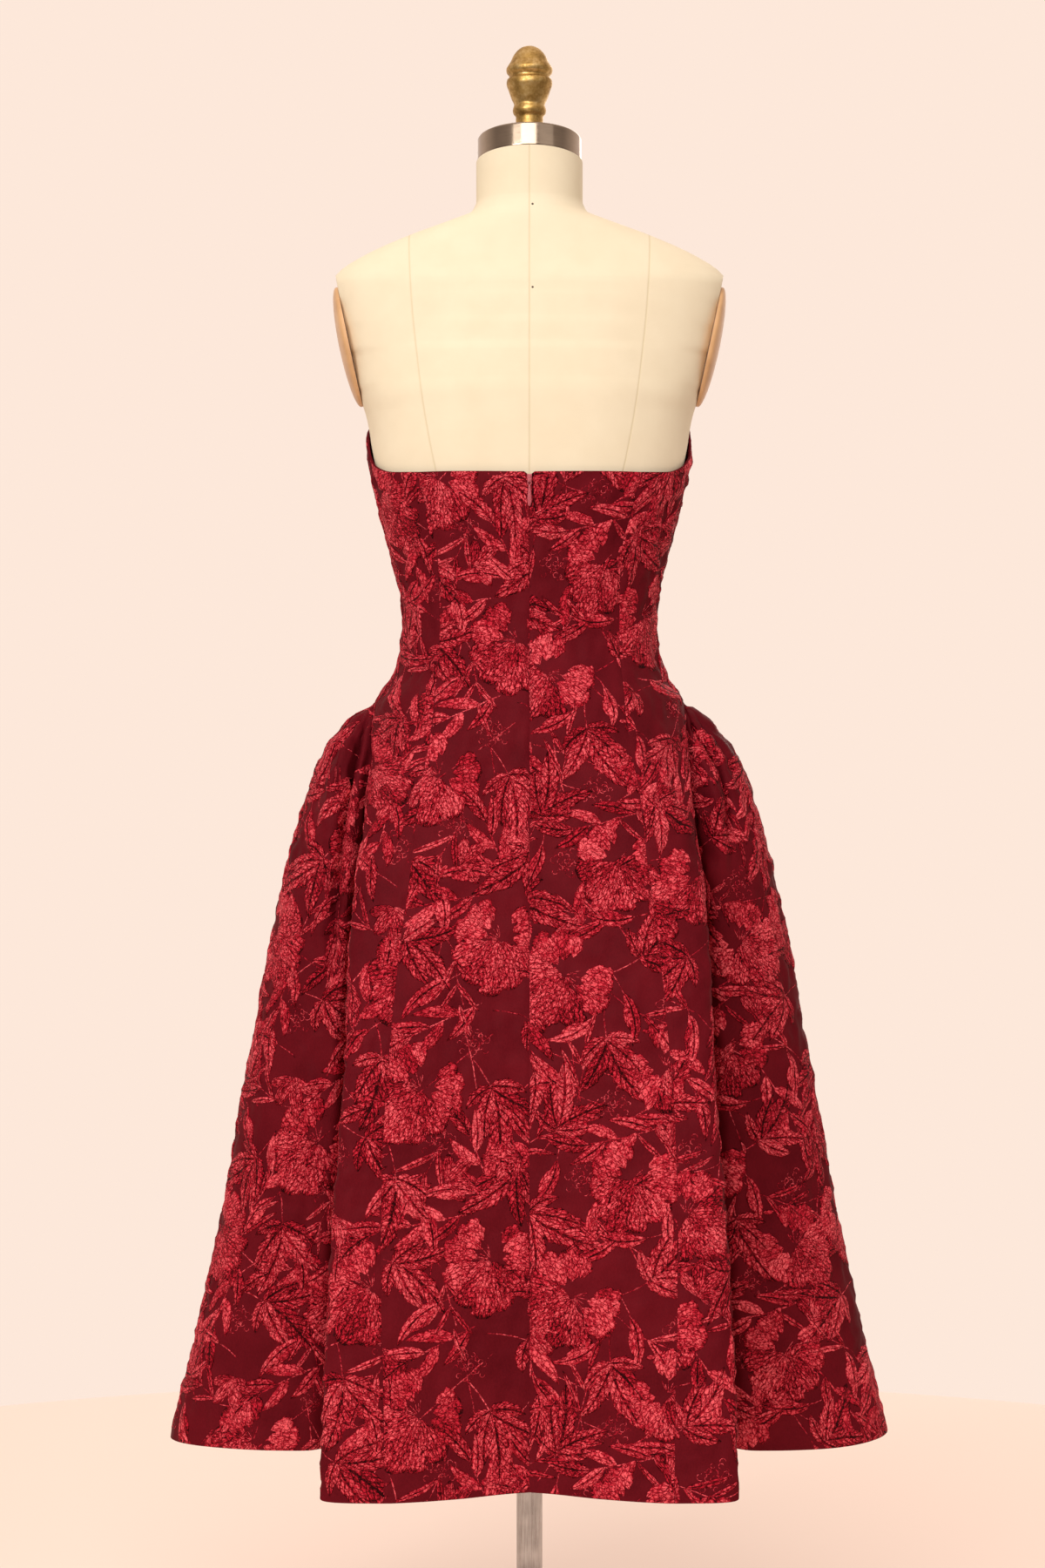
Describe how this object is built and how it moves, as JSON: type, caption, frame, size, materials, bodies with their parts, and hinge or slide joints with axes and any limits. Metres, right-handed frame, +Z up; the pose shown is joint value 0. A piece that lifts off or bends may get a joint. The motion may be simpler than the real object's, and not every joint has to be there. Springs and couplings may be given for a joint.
{
  "type": "strapless corset dress on a limbless dress form",
  "caption": "Strapless drop-waist corset dress with full side skirts and a concealed back zip, standing on a limbless dress form with a round stand.",
  "frame": {"origin": "middle of the stand's flat underside, on the floor", "axes": "+Z up; the zip and the wearer's back face +Y, the wearer's left is +X"},
  "size_m": [0.708, 0.4735, 1.65],
  "materials": {
    "jacquard": "burgundy satin ground with crinkled red raised leaves and flowers",
    "zip_tape": "woven",
    "zip_metal": "nickel plated",
    "pull_enamel": "glossy enamel",
    "form_linen": "plain weave linen",
    "arm_cover": "smooth woven cover",
    "steel": "brushed",
    "brass": "aged cast brass"
  },
  "bodies": {
    "dress_on_form": {"center_back_left": "jacquard", "center_back_right": "jacquard", "side_back_left": "jacquard", "side_back_right": "jacquard", "side_front_left": "jacquard", "side_front_right": "jacquard", "side_skirt_left": "jacquard", "side_skirt_right": "jacquard", "center_front": "jacquard", "zip_tape": "zip_tape", "zip_slider": "zip_metal", "form_torso": "form_linen", "arm_plate_left": "arm_cover", "arm_plate_right": "arm_cover", "neck_cap": "steel", "finial": "brass", "pole": "steel", "stand_base": "steel"},
    "zip_pull": {"zip_pull_ring": "zip_metal", "zip_pull_tab": "pull_enamel"}
  },
  "joints": [
    {"name": "zip_pull_swing", "type": "hinge", "parent": "dress_on_form", "child": "zip_pull", "pos_m": [0, 0.0978, 1.2114], "axis": [1, 0, 0], "range_deg": [0, 150]}
  ]
}
